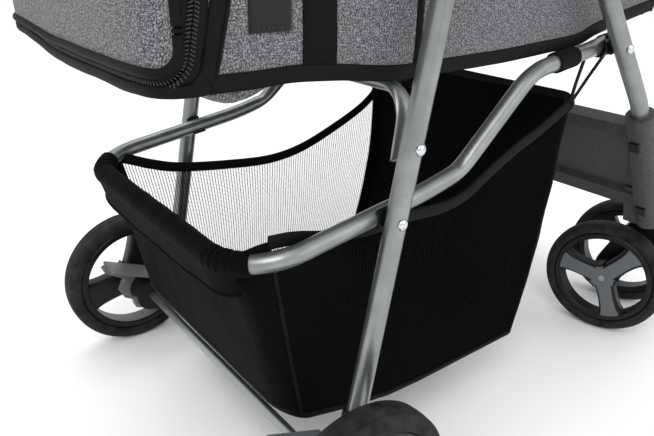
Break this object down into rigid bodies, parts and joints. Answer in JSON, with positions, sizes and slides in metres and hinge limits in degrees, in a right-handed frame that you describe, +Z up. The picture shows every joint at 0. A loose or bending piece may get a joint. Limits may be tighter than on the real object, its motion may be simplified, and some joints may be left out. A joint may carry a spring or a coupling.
{
  "type": "pet stroller",
  "caption": "Folding pet stroller with a fabric cabin and hood, under-slung basket, twin-wheel front casters, braked rear wheels and a cup tray on the push handle.",
  "frame": {"origin": "on the ground under the centre of the whole stroller", "axes": "+Z up, +Y towards the rear and the push handle, +X to the stroller's left"},
  "size_m": [0.4764, 0.8008, 0.9995],
  "materials": {
    "satin_tube": "satin silver-grey powder coat",
    "rivet_steel": "polished",
    "axle_steel": "drawn steel rod",
    "tyre_foam": "matt moulded foam",
    "rim_grey": "moulded grey",
    "bridge_grey": "moulded dark grey",
    "pedal_grey": "moulded grey",
    "grip_foam": "closed-cell foam",
    "heather_fabric": "grey melange polyester",
    "black_fabric": "black oxford polyester",
    "mesh_fabric": "black knitted mesh",
    "mat_fleece": "quilted pad",
    "black_plastic": "moulded black"
  },
  "bodies": {
    "root": {"front_leg_left": "satin_tube", "front_leg_right": "satin_tube", "front_bridge": "bridge_grey", "bridge_caps": "black_plastic", "hinge_lower": "black_plastic", "hinge_pins": "rivet_steel", "front_leg_rivets": "rivet_steel", "cabin_floor": "black_fabric", "cabin_side_left": "heather_fabric", "cabin_side_right": "heather_fabric", "cabin_front": "heather_fabric", "cabin_rear_band": "black_fabric", "floor_mat": "mat_fleece", "canopy_rear": "heather_fabric", "canopy_front": "heather_fabric", "canopy_pivots": "black_plastic"},
    "handle": {"handle_tube": "satin_tube", "handle_grip": "grip_foam", "parent_tray": "black_plastic", "hinge_upper": "black_plastic"},
    "latch_left": {"hinge_latch_left": "black_plastic"},
    "latch_right": {"hinge_latch_right": "black_plastic"},
    "rear_frame": {"rear_leg_left": "satin_tube", "rear_leg_right": "satin_tube", "leg_brackets": "black_plastic", "rear_frame_rivets": "rivet_steel", "floor_hoop": "satin_tube", "rear_axle": "axle_steel", "brake_housings": "black_plastic"},
    "support": {"support_tube": "satin_tube", "tube_saddles": "black_plastic", "basket_rear": "black_fabric", "basket_front": "black_fabric", "basket_side_left": "mesh_fabric", "basket_side_right": "mesh_fabric", "basket_floor": "black_fabric"},
    "hood_front": {"canopy_bow_front": "axle_steel"},
    "hood_mid": {"canopy_bow_mid": "axle_steel"},
    "door": {"rear_door": "heather_fabric"},
    "rear_wheel_left": {"rear_tyre_left": "tyre_foam", "rear_rim_left": "rim_grey", "rear_hub_cap_left": "black_plastic"},
    "pedal_left": {"brake_pedal_left": "pedal_grey"},
    "caster_left": {"caster_fork_left": "black_plastic", "caster_axle_left": "axle_steel"},
    "caster_wheel_left_rear": {"caster_tyre_left_rear": "tyre_foam", "caster_rim_left_rear": "rim_grey"},
    "caster_wheel_left_front": {"caster_tyre_left_front": "tyre_foam", "caster_rim_left_front": "rim_grey"},
    "rear_wheel_right": {"rear_tyre_right": "tyre_foam", "rear_rim_right": "rim_grey", "rear_hub_cap_right": "black_plastic"},
    "pedal_right": {"brake_pedal_right": "pedal_grey"},
    "caster_right": {"caster_fork_right": "black_plastic", "caster_axle_right": "axle_steel"},
    "caster_wheel_right_rear": {"caster_tyre_right_rear": "tyre_foam", "caster_rim_right_rear": "rim_grey"},
    "caster_wheel_right_front": {"caster_tyre_right_front": "tyre_foam", "caster_rim_right_front": "rim_grey"}
  },
  "joints": [
    {"name": "fold", "type": "hinge", "parent": "root", "child": "handle", "pos_m": [0, -0.0285, 0.518], "axis": [-1, 0, 0], "range_deg": [0, 125], "deforming": ["cabin_floor", "cabin_side_left", "cabin_side_right", "cabin_front", "cabin_rear_band", "floor_mat", "canopy_rear", "canopy_front", "basket_rear", "basket_front", "basket_side_left", "basket_side_right", "basket_floor"]},
    {"name": "rear_leg_pivot", "type": "hinge", "parent": "handle", "child": "rear_frame", "pos_m": [0, 0.058, 0.619], "axis": [-1, 0, 0], "range_deg": [-85, 0]},
    {"name": "support_pivot", "type": "hinge", "parent": "root", "child": "support", "pos_m": [0, -0.147, 0.378], "axis": [-1, 0, 0], "range_deg": [0, 73]},
    {"name": "hood_fold", "type": "hinge", "parent": "root", "child": "hood_front", "pos_m": [0, 0.0525, 0.632], "axis": [-1, 0, 0], "range_deg": [0, 110], "deforming": ["canopy_front"]},
    {"name": "hood_mid_follow", "type": "hinge", "parent": "root", "child": "hood_mid", "pos_m": [0, 0.0525, 0.632], "axis": [-1, 0, 0], "range_deg": [0, 50]},
    {"name": "rear_door_hinge", "type": "hinge", "parent": "root", "child": "door", "pos_m": [0, 0.2845, 0.621], "axis": [1, 0, 0], "range_deg": [0, 100]},
    {"name": "hinge_latch_left_slide", "type": "slide", "parent": "handle", "child": "latch_left", "axis": [1, 0, 0], "range_m": [0, 0.0035], "stiffness_N_per_m": 400},
    {"name": "rear_wheel_left_spin", "type": "hinge", "parent": "rear_frame", "child": "rear_wheel_left", "pos_m": [0.2202, 0.2025, 0.082], "axis": [1, 0, 0], "continuous": true},
    {"name": "brake_pedal_left_press", "type": "hinge", "parent": "rear_frame", "child": "pedal_left", "pos_m": [0.188, 0.2025, 0.082], "axis": [-1, 0, 0], "range_deg": [0, 18]},
    {"name": "caster_left_swivel", "type": "hinge", "parent": "root", "child": "caster_left", "pos_m": [0.153, -0.3365, 0.17], "axis": [0, 0, 1], "continuous": true},
    {"name": "caster_wheel_left_rear_spin", "type": "hinge", "parent": "caster_left", "child": "caster_wheel_left_rear", "pos_m": [0.13011, -0.28364, 0.073], "axis": [-0.2419, -0.9703, 0], "continuous": true},
    {"name": "caster_wheel_left_front_spin", "type": "hinge", "parent": "caster_left", "child": "caster_wheel_left_front", "pos_m": [0.10797, -0.37242, 0.073], "axis": [-0.2419, -0.9703, 0], "continuous": true},
    {"name": "hinge_latch_right_slide", "type": "slide", "parent": "handle", "child": "latch_right", "axis": [-1, 0, 0], "range_m": [0, 0.0035], "stiffness_N_per_m": 400},
    {"name": "rear_wheel_right_spin", "type": "hinge", "parent": "rear_frame", "child": "rear_wheel_right", "pos_m": [-0.2202, 0.2025, 0.082], "axis": [1, 0, 0], "continuous": true},
    {"name": "brake_pedal_right_press", "type": "hinge", "parent": "rear_frame", "child": "pedal_right", "pos_m": [-0.188, 0.2025, 0.082], "axis": [-1, 0, 0], "range_deg": [0, 18]},
    {"name": "caster_right_swivel", "type": "hinge", "parent": "root", "child": "caster_right", "pos_m": [-0.153, -0.3365, 0.17], "axis": [0, 0, 1], "continuous": true},
    {"name": "caster_wheel_right_rear_spin", "type": "hinge", "parent": "caster_right", "child": "caster_wheel_right_rear", "pos_m": [-0.13011, -0.28364, 0.073], "axis": [-0.2419, 0.9703, 0], "continuous": true},
    {"name": "caster_wheel_right_front_spin", "type": "hinge", "parent": "caster_right", "child": "caster_wheel_right_front", "pos_m": [-0.10797, -0.37242, 0.073], "axis": [-0.2419, 0.9703, 0], "continuous": true}
  ],
  "couplings": [
    {"joint": "rear_leg_pivot", "follows": "fold", "ratio": -0.677},
    {"joint": "support_pivot", "follows": "fold", "ratio": 0.581},
    {"joint": "hood_mid_follow", "follows": "hood_fold", "ratio": 0.45}
  ]
}
